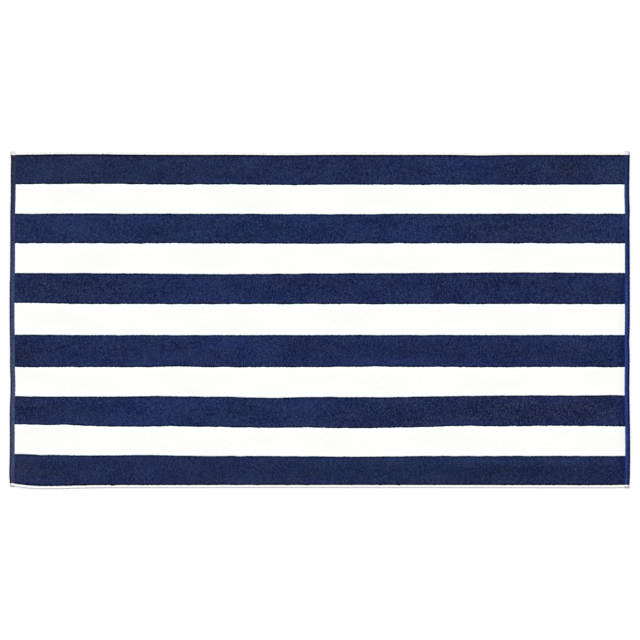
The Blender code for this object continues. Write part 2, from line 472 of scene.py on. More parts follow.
def on_lines(unit: Floats, lines: Floats) -> Floats:
    """The places that points of an even grid from -1 to 1 take on these lines."""
    return np.interp((unit + 1) / 2, np.linspace(0, 1, len(lines)), lines)


def folded_map(piece: Piece, unit: Floats, folds: int) -> Floats:
    """A map of a long strip that fills a square, with its length folded into rows.

    Args:
        piece: The strip's mesh.
        unit: Its points as they lie on the unit grid, with any floor one unit below.
        folds: How many rows it is folded into.

    Returns:
        A place on the map for each corner of its faces.
    """
    gap, edge, floor_row = MAP_GAP, 3 * MAP_GAP, 6 * MAP_GAP
    corners = corner_points(piece)
    faces = corner_faces(piece)
    sizes = np.bincount(faces)
    middle = np.stack([np.bincount(faces, unit[corners, axis]) / sizes for axis in range(3)], axis=1)
    band = np.clip(np.floor((middle[:, 0] + 1) / 2 * folds), 0, folds - 1)[faces]
    share = (unit[corners, :2] + 1) / 2
    wide = 1 - 2 * edge
    tall = (1 - floor_row) / folds
    below = ~on_top(unit)[corners]
    side_wall = (np.abs(middle[:, 1]) > 1 - 1e-6)[faces] & below
    end_wall = (np.abs(middle[:, 0]) > 1 - 1e-6)[faces] & below
    on_floor = (middle[:, 2] < -0.9)[faces]
    u = edge + wide * (share[:, 0] * folds - band)
    v = floor_row + tall * band + gap + (tall - 2 * gap) * share[:, 1]
    u = u + np.where(end_wall, np.sign(unit[corners, 0]) * gap * 2, 0)
    v = v + np.where(side_wall, np.sign(unit[corners, 1]) * gap * 0.6, 0)
    u = np.where(on_floor, edge + wide * share[:, 0], u)
    v = np.where(on_floor, gap + edge * share[:, 1], v)
    return np.stack([u, v], axis=1)


def uneven(rng: np.random.Generator, shape: int | tuple[int, int], *passes: tuple[int, int]) -> Floats:
    """Chance unevenness with a spread of one.

    Args:
        rng: The seeded source of chance.
        shape: How many values, on each axis.
        *passes: An axis and a reach each, over which neighbours are averaged.

    Returns:
        The values.
    """
    values = rng.normal(0, 1, shape)
    for axis, reach in passes:
        values = sum(np.roll(values, shift, axis=axis) for shift in range(-reach, reach + 1))
    return values / values.std()


def finish_piece(piece: Piece, material: Material) -> Piece:
    """Shades a piece smooth, dresses it, and ties it to the towel's body.

    Args:
        piece: The finished mesh.
        material: Its finish.

    Returns:
        The piece.
    """
    piece.data.polygons.foreach_set("use_smooth", [True] * len(piece.data.polygons))
    piece.data.materials.clear()
    piece.data.materials.append(material)
    piece.data.update()
    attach(piece, BODY)
    LOG.info("%s: %d triangles", piece.name, sum(len(face.vertices) - 2 for face in piece.data.polygons))
    return piece


# ---------------------------------------------------------------- finishes


class Grain(NamedTuple):
    """A random pattern: its grains to a metre, its finer layers, their strength, and any stretch."""

    scale: float
    detail: float = 2.0
    rough: float = 0.5
    stretch: Triple | None = None


class NodeBench:
    """A material's node tree, with short calls for the nodes that the finishes share."""

    tuft_smoothness: float = 0.35
    tuft_randomness: float = 0.85
    cotton_gloss: float = 0.05
    sheen_roughness: float = 0.40

    def __init__(self, name: str) -> None:
        """Starts a material with a Principled shader and its output.

        Args:
            name: The material's name.
        """
        self.material = bpy.data.materials.new(name)
        self.material.use_nodes = True
        self.tree = self.material.node_tree
        self.shader = self.tree.nodes["Principled BSDF"]

    def add(self, kind: str, inputs: dict[str, object], **settings: object) -> bpy.types.Node:
        """Adds a node, sets its properties and feeds its inputs.

        Args:
            kind: The node's type.
            inputs: A socket or a value for inputs, by name.
            **settings: Properties by name.

        Returns:
            The node.
        """
        node = self.tree.nodes.new(kind)
        for key, value in settings.items():
            setattr(node, key, value)
        self.feed_all(node, inputs)
        return node

    def feed(self, socket: Socket, value: object) -> None:
        """Links a socket to another, or sets its value."""
        if isinstance(value, Socket):
            self.tree.links.new(value, socket)
        else:
            socket.default_value = value

    def feed_all(self, node: bpy.types.Node, inputs: dict[str, object]) -> None:
        """Feeds a node's inputs, by name."""
        for name, value in inputs.items():
            self.feed(node.inputs[name], value)

    def cloth_place(self) -> Socket:
        """Places on the woven cloth in metres, from the piece's own map."""
        return self.add("ShaderNodeUVMap", {}, uv_map=CLOTH_MAP).outputs["UV"]

    def axes(self, place: Socket) -> tuple[Socket, Socket]:
        """The first two axes of places."""
        split = self.add("ShaderNodeSeparateXYZ", {"Vector": place})
        return split.outputs["X"], split.outputs["Y"]

    def attribute(self, name: str) -> Socket:
        """The number that the piece's points carry under this name."""
        return self.add("ShaderNodeAttribute", {}, attribute_name=name).outputs["Fac"]

    def stretched(self, place: Socket, grain: Grain) -> Socket:
        """Places scaled apart on each axis, for a pattern that is longer one way."""
        if grain.stretch is None:
            return place
        inputs = {"Vector": place, "Scale": grain.stretch}
        return self.add("ShaderNodeMapping", inputs, vector_type="POINT").outputs["Vector"]

    def noise(self, place: Socket, grain: Grain) -> Socket:
        """Soft random values about one half.

        Args:
            place: Where the pattern is read.
            grain: The pattern.

        Returns:
            The value's socket.
        """
        inputs = {
            "Vector": self.stretched(place, grain),
            "Scale": grain.scale,
            "Detail": grain.detail,
            "Roughness": grain.rough,
        }
        return self.add("ShaderNodeTexNoise", inputs, noise_dimensions="3D").outputs["Fac"]

    def centred_noise(self, place: Socket, grain: Grain) -> Socket:
        """The same soft random values, about zero."""
        return self.math("SUBTRACT", self.noise(place, grain), 0.5)

    def tufts(self, place: Socket, grain: Grain) -> tuple[Socket, Socket]:
        """Tufts or loops that stand a little unevenly side by side.

        Args:
            place: Where the pattern is read.
            grain: The pattern, whose scale and stretch count.

        Returns:
            The distance from each tuft's middle, in shares of their spacing, and the tuft's own chance
            value about zero.
        """
        inputs = {
            "Vector": self.stretched(place, grain),
            "Scale": grain.scale,
            "Smoothness": self.tuft_smoothness,
            "Randomness": self.tuft_randomness,
        }
        node = self.add("ShaderNodeTexVoronoi", inputs, voronoi_dimensions="2D", feature="SMOOTH_F1")
        split = self.add("ShaderNodeSeparateColor", {"Color": node.outputs["Color"]})
        return node.outputs["Distance"], self.math("SUBTRACT", split.outputs["Red"], 0.5)

    def grey(self, value: Socket) -> Socket:
        """A value as a grey."""
        channels = dict.fromkeys(("Red", "Green", "Blue"), value)
        return self.add("ShaderNodeCombineColor", channels).outputs["Color"]

    def math(self, operation: str, *terms: object) -> Socket:
        """One step of arithmetic on sockets or numbers."""
        node = self.add("ShaderNodeMath", {}, operation=operation)
        for socket, value in zip(node.inputs, terms):
            self.feed(socket, value)
        return node.outputs["Value"]

    def wave(self, way: Socket, pitch: float) -> Socket:
        """A wave from -1 to 1 that repeats at a pitch along one way."""
        return self.math("SINE", self.math("MULTIPLY", way, math.tau / pitch))

    def total(self, start: object, *parts: tuple[object, object]) -> Socket:
        """A start with an amount of each value added to it in turn.

        Args:
            start: The first term.
            *parts: Each value with its amount.

        Returns:
            The sum's socket.
        """
        for value, amount in parts:
            start = self.math("MULTIPLY_ADD", value, amount, start)
        return start

    def ramp(self, value: Socket, low: float, high: float, start: float = 0.0, end: float = 1.0) -> Socket:
        """A value mapped smoothly from low and high to start and end, and held there beyond."""
        inputs = {"Value": value, "From Min": low, "From Max": high, "To Min": start, "To Max": end}
        node = self.add("ShaderNodeMapRange", inputs, interpolation_type="SMOOTHSTEP", clamp=True)
        return node.outputs["Result"]

    def stops(self, value: Socket, stops: Sequence[Stop], blend: str) -> Socket:
        """The colour that a value has among stops.

        Args:
            value: The value, from 0 to 1.
            stops: Each colour with its place, rising.
            blend: How the colours run into each other, EASE or CONSTANT.

        Returns:
            The colour's socket.
        """
        node = self.add("ShaderNodeValToRGB", {"Fac": value})
        node.color_ramp.interpolation = blend
        elements = node.color_ramp.elements
        elements[0].color = (*stops[0].colour, 1.0)
        elements[1].color = (*stops[-1].colour, 1.0)
        for stop in stops[1:]:
            elements.new(stop.place).color = (*stop.colour, 1.0)
        return node.outputs["Color"]

    def blend(self, share: object, first: object, second: object, how: str = "MIX") -> Socket:
        """A blend of two colours.

        Args:
            share: How much of the second.
            first: The first colour.
            second: The second colour.
            how: The way in which they blend.

        Returns:
            The colour's socket.
        """
        node = self.add("ShaderNodeMix", {}, data_type="RGBA", blend_type=how, clamp_factor=True)
        sockets = [s for s in node.inputs if s.type == "RGBA" or s.name == "Factor" and s.type == "VALUE"]
        for socket, value in zip(sockets, (share, first, second)):
            self.feed(socket, (*value, 1.0) if isinstance(value, tuple) else value)
        return next(s for s in node.outputs if s.type == "RGBA")

    def times(self, colour: Socket, tint: Socket) -> Socket:
        """A colour multiplied by another."""
        return self.blend(1.0, colour, tint, "MULTIPLY")

    def bump(self, height: Socket, strength: float, distance: float) -> None:
        """Feeds a height, in shares of the distance, to the shader's normal."""
        inputs = {"Strength": strength, "Distance": distance, "Height": height}
        self.feed(self.shader.inputs["Normal"], self.add("ShaderNodeBump", inputs).outputs["Normal"])

    def cotton(self, colour: Socket, roughness: float, sheen: float, sheen_tint: Triple) -> None:
        """Sets the shader's own sockets for matt cotton with a soft sheen.

        Args:
            colour: The cotton's colour.
            roughness: How matt it is.
            sheen: How strong its sheen is.
            sheen_tint: The sheen's colour.
        """
        inputs = {
            "Base Color": colour,
            "Roughness": roughness,
            "Specular IOR Level": self.cotton_gloss,
            "Sheen Weight": sheen,
            "Sheen Roughness": self.sheen_roughness,
            "Sheen Tint": (*sheen_tint, 1.0),
        }
        self.feed_all(self.shader, inputs)


@dataclass(frozen=True)
class PileFinish:
    """Sheared pile, navy unless told otherwise: patches, nap streaks, tuft grain, glints, and painted shade
    between tufts, along borders and beside the right end hem.
    """

    name: str = "navy_sheared_pile"
    deep: Triple = (0.0051, 0.0116, 0.0541)
    light: Triple = (0.0257, 0.0388, 0.1144)
    warm: Triple = (1.12, 0.95, 0.75)
    cool: Triple = (0.88, 1.04, 1.29)
    violet: Triple = (1.05, 0.95, 1.02)
    teal: Triple = (0.95, 1.05, 0.98)
    glint: Triple = (0.11, 0.14, 0.26)
    rim: Triple = (0.001, 0.002, 0.01)
    beyond: Triple = (0.30, 0.42, 0.85)
    tones: float = 0.57
    rim_from: float = 0.05
    rim_full: float = 0.64
    strays_from: float = 0.85
    patches: float = 1.3
    streaks: float = 1.38
    clumps: float = 1.5
    tufts: float = 0.4
    fibres: float = 1.9
    glints: float = 0.6
    gap: float = 0.56
    sheen: float = 0.08
    sheen_tint: Triple = (0.55, 0.65, 1.0)
    relief: float = 0.50
    hues: float = 0.25
    tinges: float = 0.8
    casts: float = 0.5
    cast_patches: float = 1.6
    streak_power: float = 6.0
    streak_gain: float = 5.0
    streak_mean: float = 0.108
    lit_clumps: tuple[float, float] = (0.20, 0.50)
    lit_fibres: tuple[float, float] = (-0.05, 0.15)
    gap_from: float = 0.20
    gap_full: float = 0.70
    rim_most: float = 0.9
    strays: float = 0.8
    strays_blur: float = 0.14
    roughness: float = 0.9
    tuft_dip: float = -0.8
    fibre_rise: float = 0.5
    depth: float = 0.5 * MM
    patch_grain: Grain = Grain(24.0, 3.0, 0.55, (0.35, 1.0, 1.0))
    tinge_grain: Grain = Grain(36.0, stretch=(0.35, 1.0, 1.0))
    cast_grain: Grain = Grain(48.0, stretch=(0.35, 1.0, 1.0))
    nap_grain: Grain = Grain(390.0, stretch=(1.0, 0.30, 1.0))
    fibre_grain: Grain = Grain(2300.0, rough=0.6, stretch=(1.0, 0.4, 1.0))
    tuft_grain: Grain = Grain(800.0, stretch=(1.0, 0.8, 1.0))
    clump_grain: Grain = Grain(580.0, stretch=(1.0, 0.68, 1.0))
    stray_grain: Grain = Grain(800.0, rough=0.6, stretch=(1.0, 0.6, 1.0))

    def material(self) -> Material:
        """Builds the finish.

        Returns:
            The material, which reads the cloth's own map and the points' tone, hue, cast, grain and painted
            shade along borders.
        """
        bench = NodeBench(self.name)
        place = bench.cloth_place()
        grains = (self.patch_grain, self.tinge_grain, self.cast_grain, self.fibre_grain, self.stray_grain)
        patch, tinge, cast, fibre, stray = (bench.centred_noise(place, grain) for grain in grains)
        nap = bench.math("POWER", bench.noise(place, self.nap_grain), self.streak_power)
        streak = bench.total(-self.streak_mean, (nap, self.streak_gain))
        from_tuft, tuft = bench.tufts(place, self.tuft_grain)
        _, clump = bench.tufts(place, self.clump_grain)
        coarse = bench.total(0.0, (clump, self.clumps), (streak, self.streaks))
        coarse = bench.total(coarse, (tuft, self.tufts), (patch, self.patches))
        coarseness = bench.attribute("grain")
        share = bench.total(0.5, (bench.attribute("tone"), self.tones), (coarse, coarseness))
        colour = bench.blend(bench.total(share, (fibre, self.fibres)), self.deep, self.light)
        hue = bench.total(0.5, (bench.attribute("hue"), self.hues), (tinge, self.tinges))
        colour = bench.times(colour, bench.blend(hue, self.warm, self.cool))
        greener = bench.total(0.5, (bench.attribute("cast"), self.casts), (cast, self.cast_patches))
        colour = bench.times(colour, bench.blend(greener, self.violet, self.teal))
        lit = bench.math("MULTIPLY", bench.ramp(clump, *self.lit_clumps), bench.ramp(fibre, *self.lit_fibres))
        lit = bench.math("MULTIPLY", bench.math("MULTIPLY", lit, self.glints), coarseness)
        colour = bench.blend(lit, colour, self.glint)
        # Painted shade: the colour darkens in the gaps between tufts
        shade = bench.ramp(from_tuft, self.gap_from, self.gap_full, 1.0, self.gap)
        colour = bench.times(colour, bench.grey(shade))
        # Painted shade: the pile darkens along its borders and beside the side hems
        at_rim = bench.ramp(bench.attribute("rim"), self.rim_from, self.rim_full, 0.0, self.rim_most)
        colour = bench.blend(at_rim, colour, self.rim)
        strays = bench.total(bench.attribute("fringe"), (stray, self.strays))
        strays = bench.ramp(strays, self.strays_from, self.strays_from + self.strays_blur)
        colour = bench.blend(strays, colour, self.beyond)
        bench.cotton(colour, self.roughness, self.sheen, self.sheen_tint)
        height = bench.total(0.0, (fibre, self.fibre_rise), (from_tuft, self.tuft_dip))
        bench.bump(height, self.relief, self.depth)
        return bench.material


@dataclass(frozen=True)
class WeaveFinish:
    """Flat-woven cloth of a hem: fine ribs, soft unevenness, white yarn past the stripes, and painted shade
    at its fold, inner edge and tips.
    """

    name: str
    deep: float
    bright: float
    dyed_and_shaded: tuple[Stop, ...]
    # The painted shade's colour at the outer fold and inner edge
    edge: Triple
    slubs: float
    selvedge: Triple = (0.90, 0.90, 0.885)
    shadow: Triple = (0.42, 0.42, 0.42)
    rib: float = 1.1 * MM
    ribs: float = 0.15
    patches: float = 0.7
    fibres: float = 0.6
    ends_early: float = 0.0
    ragged: float = 1.0 * MM
    blur: float = 0.2 * MM
    shadows: float = 0.9
    roughness: float = 0.85
    sheen: float = 0.08
    sheen_tint: Triple = (0.6, 0.7, 1.0)
    fibre_rise: float = 0.4
    check_rise: float = 0.6
    relief: float = 0.5
    depth: float = 0.25 * MM
    fibre_grain: Grain = Grain(900.0, rough=0.6)
    slub_grain: Grain = Grain(480.0, rough=0.6, stretch=(0.5, 1.0, 1.0))
    patch_grain: Grain = Grain(24.0, 3.0, 0.6)

    def material(self, plan: TowelPlan) -> Material:
        """Builds the finish.

        Args:
            plan: The towel's sizes, for where its stripes end.

        Returns:
            The material, which reads the cloth's own map and each point's share of painted edge shade.
        """
        white_from = plan.width / 2 - plan.side_hem - self.ends_early
        bench = NodeBench(self.name)
        place = bench.cloth_place()
        along, across = bench.axes(place)
        both = bench.math("MULTIPLY", bench.wave(along, self.rib), bench.wave(across, self.rib))
        check = bench.total(0.5, (both, 0.5))
        grains = (self.fibre_grain, self.slub_grain, self.patch_grain)
        fibre, slub, patch = (bench.centred_noise(place, grain) for grain in grains)
        # The slubs' mottling is uneven yarn, and partly painted shade of the puckers that the sewing gathers
        share = bench.total(0.5 - self.ribs / 2, (patch, self.patches), (slub, self.slubs))
        share = bench.total(share, (fibre, self.fibres), (check, self.ribs))
        at_edge = bench.attribute("edge")
        dyed_and_shaded = bench.stops(bench.total(0.5, (across, 1 / plan.width)), self.dyed_and_shaded, "EASE")
        # Painted shade: the hem's colour runs to the edge colour at the outer fold and inner edge
        dyed_and_shaded = bench.blend(at_edge, dyed_and_shaded, self.edge)
        colour = bench.times(dyed_and_shaded, bench.grey(bench.ramp(share, 0.0, 1.0, self.deep, self.bright)))
        yarn_end = bench.total(bench.math("ABSOLUTE", across), (fibre, self.ragged))
        white = bench.ramp(yarn_end, white_from - self.blur, white_from + self.blur)
        # Painted shadow: the white yarn greys towards the shadow colour at the outer fold, inner edge and an
        # end hem's tips
        pale = bench.blend(bench.math("MULTIPLY", at_edge, self.shadows), self.selvedge, self.shadow)
        bench.cotton(bench.blend(white, colour, pale), self.roughness, self.sheen, self.sheen_tint)
        height = bench.total(0.0, (check, self.check_rise), (fibre, self.fibre_rise))
        bench.bump(height, self.relief, self.depth)
        return bench.material


@dataclass(frozen=True)
class LoopFinish:
    """The towel's back: unsheared loops in the same stripes, and the bare ground under the pile."""

    name: str = "looped_back"
    navy: Triple = (0.017, 0.025, 0.078)
    white: Triple = (0.90, 0.90, 0.88)
    level: float = 1.05
    gaps: float = -0.35
    patches: float = 0.5
    chances: float = 0.15
    wander: float = 3.0 * MM
    roughness: float = 0.92
    sheen: float = 0.15
    sheen_tint: Triple = (0.9, 0.92, 1.0)
    fibre_rise: float = 0.3
    loop_dip: float = -0.8
    relief: float = 0.8
    depth: float = 0.9 * MM
    loop_grain: Grain = Grain(480.0, stretch=(1.0, 0.7, 1.0))
    fibre_grain: Grain = Grain(1300.0, rough=0.6)
    patch_grain: Grain = Grain(20.0, 3.0, 0.6)

    def material(self, plan: TowelPlan) -> Material:
        """Builds the finish.

        Args:
            plan: The towel's sizes, for its stripes.

        Returns:
            The material, which reads the cloth's own map.
        """
        bench = NodeBench(self.name)
        place = bench.cloth_place()
        loop, chance = bench.tufts(place, self.loop_grain)
        fibre = bench.centred_noise(place, self.fibre_grain)
        patch = bench.centred_noise(place, self.patch_grain)
        across = bench.total(bench.axes(place)[1], (fibre, self.wander))
        share = bench.total(0.5, (across, 1 / plan.width))
        stripes = [Stop(0.0, self.white)]
        for edge, stripe in zip(plan.marks[:0:-1], reversed(STRIPES)):
            colour = self.navy if stripe.yarn is Yarn.NAVY else self.white
            stripes.append(Stop(edge / plan.width + 0.5, colour))
        stripes.append(Stop(plan.marks[0] / plan.width + 0.5, self.white))
        # Painted shade in the gaps between loops, with patches and chances of tone
        shade = bench.total(self.level, (loop, self.gaps), (patch, self.patches), (chance, self.chances))
        colour = bench.times(bench.stops(share, stripes, "CONSTANT"), bench.grey(shade))
        bench.cotton(colour, self.roughness, self.sheen, self.sheen_tint)
        height = bench.total(0.0, (loop, self.loop_dip), (fibre, self.fibre_rise))
        bench.bump(height, self.relief, self.depth)
        return bench.material


@dataclass(frozen=True)
class ThreadFinish:
    """Sewing thread: two plies that twist along each stitch."""

    name: str
    colour: Triple
    shadow: Triple
    twist: float = 0.7 * MM
    roughness: float = 0.6
    sheen: float = 0.1
    relief: float = 0.4
    depth: float = 0.1 * MM

    def material(self) -> Material:
        """Builds the finish.

        Returns:
            The material, which reads the thread's own map.
        """
        bench = NodeBench(self.name)
        slant = bench.math("ADD", *bench.axes(bench.cloth_place()))
        share = bench.total(0.5, (bench.wave(slant, self.twist), 0.5))
        colour = bench.blend(share, self.shadow, self.colour)
        bench.cotton(colour, self.roughness, self.sheen, (1.0, 1.0, 1.0))
        bench.bump(share, self.relief, self.depth)
        return bench.material


NAVY_PILE = PileFinish()
WHITE_PILE = PileFinish(
    name="white_sheared_pile",
    deep=(0.864, 0.864, 0.855),
    light=(0.943, 0.943, 0.935),
    warm=(1.0, 0.998, 0.985),
    cool=(0.998, 1.0, 1.0),
    violet=(1.0, 0.998, 1.0),
    teal=(0.998, 1.0, 0.999),
    glint=(0.96, 0.96, 0.95),
    # Beside the navy the white turns a faint blue
    rim=(0.86, 0.97, 1.0),
    beyond=(0.012, 0.020, 0.075),
    tones=0.5,
    rim_from=0.30,
    rim_full=0.90,
    strays_from=0.93,
    patches=0.6,
    streaks=0.3,
    clumps=0.10,
    tufts=0.05,
    fibres=0.35,
    glints=0.15,
    gap=0.92,
    sheen=0.05,
    sheen_tint=(1.0, 1.0, 0.98),
    relief=0.35,
)
LEFT_WEAVE = WeaveFinish(
    name="navy_flat_weave_left",
    deep=0.36,
    bright=1.12,
    dyed_and_shaded=(
        Stop(0.00, (0.055, 0.066, 0.150)),
        Stop(0.16, (0.062, 0.080, 0.172)),
        Stop(0.35, (0.063, 0.084, 0.185)),
        Stop(0.62, (0.055, 0.078, 0.190)),
        Stop(0.78, (0.036, 0.050, 0.135)),
        Stop(1.00, (0.025, 0.037, 0.073)),
    ),
    edge=(0.0068, 0.0123, 0.0425),
    slubs=3.6,
    ends_early=0.9 * MM,
)
RIGHT_WEAVE = WeaveFinish(
    name="navy_flat_weave_right",
    deep=0.34,
    bright=1.16,
    dyed_and_shaded=(
        Stop(0.00, (0.026, 0.045, 0.200)),
        Stop(0.25, (0.026, 0.048, 0.235)),
        Stop(0.45, (0.024, 0.052, 0.245)),
        Stop(0.54, (0.030, 0.075, 0.300)),
        Stop(0.63, (0.021, 0.044, 0.195)),
        Stop(0.73, (0.018, 0.034, 0.165)),
        Stop(0.86, (0.030, 0.052, 0.190)),
        Stop(1.00, (0.020, 0.034, 0.110)),
    ),
    edge=(0.0042, 0.0095, 0.0760),
    slubs=4.2,
)
WHITE_WEAVE = WeaveFinish(
    name="white_flat_weave",
    deep=0.91,
    bright=1.0,
    dyed_and_shaded=(Stop(0.0, (0.90, 0.90, 0.885)), Stop(1.0, (0.90, 0.90, 0.885))),
    edge=(0.73, 0.73, 0.72),
    slubs=0.6,
    shadow=(0.70, 0.70, 0.70),
    ribs=0.3,
    patches=1.6,
    fibres=0.9,
    sheen=0.05,
    sheen_tint=(1.0, 1.0, 1.0),
)
BACK_LOOPS = LoopFinish()
NAVY_THREAD = ThreadFinish("navy_sewing_thread", (0.10, 0.14, 0.30), (0.03, 0.045, 0.12))
WHITE_THREAD = ThreadFinish("white_sewing_thread", (0.93, 0.93, 0.92), (0.78, 0.78, 0.77))


# ---------------------------------------------------------------- the towel's pieces


@dataclass
class WovenCloth:
    """The woven cloth: one thin sheet under the pile, with loops on its back."""

    plan: TowelPlan
    pitch: float = 8.5 * MM
    rim_lines: Insets = (0.0, 1.5 * MM, 3.5 * MM)
    tuck: float = 1.2 * MM
    taper: float = 1.0 * MM
    back_relief: float = 0.22 * MM
    rise_share: float = 0.8

    def build(self) -> Piece:
        """Makes the sheet.

        Returns:
            The cloth, which ends inside the hems.
        """
        plan = self.plan
        reach_along = plan.length / 2 - plan.end_hem + self.tuck
        reach_across = plan.width / 2 - plan.side_hem + self.tuck
        columns, rows = (
            lines_between(-reach, reach, self.pitch, self.rim_lines, self.rim_lines)
            for reach in (reach_along, reach_across)
        )
        piece = new_grid("towel_cloth", len(columns) - 1, len(rows) - 1)
        thickness = piece.modifiers.new("thickness", "SOLIDIFY")
        thickness.thickness = 1.0
        thickness.offset = -1.0
        bpy.ops.object.modifier_apply(modifier=thickness.name)
        points = points_of(piece)
        along = on_lines(points[:, 0], columns)
        across = on_lines(points[:, 1], rows)
        rng = np.random.default_rng(Draw.PILE)
        face = plan.ground_top + self.rise_share * plan.rise(along, across)
        back = np.abs(rng.normal(0, self.back_relief / 2, len(points)))
        at_rim = np.minimum(*plan.inside(along, across)) < 0
        face = np.where(at_rim, plan.ground_top - self.taper / 2, face)
        back = np.where(at_rim, self.taper, back)
        move_points(piece, *plan.place(along, across), np.where(on_top(points), face, back))
        add_cloth_map(piece, along, across)
        finish_piece(piece, BACK_LOOPS.material(plan))
        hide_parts(NODE)
        return piece


@dataclass
class PileBorder:
    """The line where two stripes of pile meet, or where the pile meets a side hem."""

    across: float
    at_hem: bool
    wander: Floats
    lean: Floats
    height: Floats


@dataclass
class ShearedPile:
    """The face's sheared pile, in eleven stripes that share their borders."""

    plan: TowelPlan
    pitch: float = 2.2 * MM
    bank_lines: Insets = (0.0, 0.6 * MM, 1.4 * MM, 2.6 * MM, 4.2 * MM)
    tuft_relief: float = 0.090 * MM
    hem_tufts: float = 0.3
    streak_relief: float = 0.050 * MM
    streak_passes: Passes = ((0, 3),)
    patch_relief: float = 0.060 * MM
    patch_passes: Passes = ((0, 6), (1, 9), (0, 6), (1, 9))
    most_relief: float = 0.30 * MM
    spread: float = 0.35 * MM
    end_spread: float = 0.3
    border_wave: float = 0.30 * MM
    wave_passes: Passes = ((0, 4), (0, 4))
    border_tufts: float = 0.33 * MM
    base: float = 1.7 * MM
    draw_in: float = 0.4 * MM
    # How wide the painted shade along a border is, and how much wider beside a side hem
    rim_width: float = 5.0 * MM
    hem_rim_more: float = 1.5 * MM
    lift_width: float = 6.5 * MM
    lift_tone: float = 0.6
    lift_hue: float = 1.4
    hem_lift: float = 0.4
    grain: float = 0.9
    coarse_more: float = 0.2
    coarse_width: float = 12.0 * MM
    overhang: float = 0.45 * MM
    sag: float = 1.25 * MM
    sag_middle: float = 0.12
    sag_reach: float = 0.42
    folds: int = 5
    materials: dict[Yarn, Material] = field(default_factory=dict)

    def border(self, number: int, across: float, columns: Floats, at_hem: bool) -> PileBorder:
        """A border's unevenness, which both stripes beside it use.

        Args:
            number: The border's number, for its random draw.
            across: Its place across the cloth.
            columns: Its points' places along the cloth.
            at_hem: Whether it lies beside a side hem.

        Returns:
            The border.
        """
        rng = np.random.default_rng(Draw.BORDER + number)
        count = len(columns)
        wander = uneven(rng, count, *self.wave_passes) * self.border_wave
        wander = wander + uneven(rng, count) * self.border_tufts
        if not at_hem:
            navy_above = STRIPES[number - 1].yarn is Yarn.NAVY
            wander = wander + (-self.overhang if navy_above else self.overhang)
        if number == 0:
            wander = wander - self.sag * np.exp(-(((columns - self.sag_middle) / self.sag_reach) ** 2))
        lean = rng.uniform(-1, 1, count) * self.spread
        height = uneven(rng, count) * self.tuft_relief * (self.hem_tufts if at_hem else 1.0)
        return PileBorder(across, at_hem, wander, lean, height)

    def relief(self, rng: np.random.Generator, shape: tuple[int, int]) -> Floats:
        """Heights of single tufts, short streaks of nap and patches where the nap lies another way, over the
        pile's face.
        """
        total = uneven(rng, shape) * self.tuft_relief
        total = total + uneven(rng, shape, *self.streak_passes) * self.streak_relief
        total = total + uneven(rng, shape, *self.patch_passes) * self.patch_relief
        return np.clip(total, -self.most_relief, self.most_relief)

    def stripe(self, number: int, upper: PileBorder, lower: PileBorder, columns: Floats) -> Piece:
        """Makes one stripe of pile.

        Args:
            number: The stripe's number, from the +Y side.
            upper: Its border on the +Y side.
            lower: Its border on the -Y side.
            columns: The lines across it, as places along the cloth.

        Returns:
            The stripe's closed mesh.
        """
        plan = self.plan
        yarn = STRIPES[number].yarn
        at_lower, at_upper = (self.bank_lines if border.at_hem else (0.0,) for border in (lower, upper))
        rows = lines_between(lower.across, upper.across, self.pitch, at_lower, at_upper)
        shape = (len(rows), len(columns))
        piece = closed_grid(f"pile_{number + 1:02d}_{yarn.name.lower()}", shape[1] - 1, shape[0] - 1)
        unit = points_of(piece)
        column = np.rint((unit[:, 0] + 1) / 2 * (shape[1] - 1)).astype(int)
        row = np.rint((unit[:, 1] + 1) / 2 * (shape[0] - 1)).astype(int)
        rng = np.random.default_rng(Draw.PILE + number)
        shift_along = rng.uniform(-1, 1, shape) * self.spread
        shift_across = rng.uniform(-1, 1, shape) * self.spread
        height = self.relief(rng, shape)
        for index, border in ((0, lower), (-1, upper)):
            shift_along[index] = border.lean
            shift_across[index] = border.wander
            height[index] = border.height
        across_grid, along_grid = np.meshgrid(rows, columns, indexing="ij")
        near_end = np.clip(plan.inside(along_grid, across_grid)[0] / (2 * self.pitch), 0, 1)
        along = along_grid + shift_along
        across = across_grid + shift_across * np.clip(near_end + self.end_spread, 0, 1)
        top = (*plan.place(along, across), plan.pile_height(along_grid, across_grid) + height * near_end)
        from_middle = across_grid - (lower.across + upper.across) / 2
        at_end = near_end < 0.01
        base = plan.place(
            along - np.sign(along) * self.draw_in * at_end, across - np.sign(from_middle) * self.draw_in
        )
        base = (*base, np.full(shape, self.base))
        on_face = on_top(unit)
        move_points(
            piece, *(np.where(on_face, high[row, column], low[row, column]) for high, low in zip(top, base))
        )
        add_cloth_map(piece, on_lines(unit[:, 0], columns), on_lines(unit[:, 1], rows))
        add_map(piece, BAKE_MAP, folded_map(piece, unit, self.folds))
        from_border = np.minimum(np.abs(rows - lower.across), np.abs(upper.across - rows))
        lift = self.lift_beside(rows, lower) + self.lift_beside(rows, upper)
        level = {
            "tone": self.lift_tone * lift,
            "hue": self.lift_hue * lift,
            "cast": np.zeros(len(rows)),
            "grain": self.grain + self.coarse_more * np.exp(-((from_border / self.coarse_width) ** 2)),
        }
        for quality, at_row in level.items():
            patched = patched_at(columns[column], rows[row], quality)
            add_attribute(piece, quality, at_row[row] + patched)
        # Painted shade: how deep each row lies in the dark band along a border
        rim = np.maximum(self.rim_shade_beside(rows, lower), self.rim_shade_beside(rows, upper))
        add_attribute(piece, "rim", rim[row])
        # Stray fibres cross a border between two stripes, but none beside a hem
        fringe = np.zeros(len(rows))
        fringe[0] = not lower.at_hem
        fringe[-1] = not upper.at_hem
        add_attribute(piece, "fringe", fringe[row])
        return finish_piece(piece, self.materials[yarn])

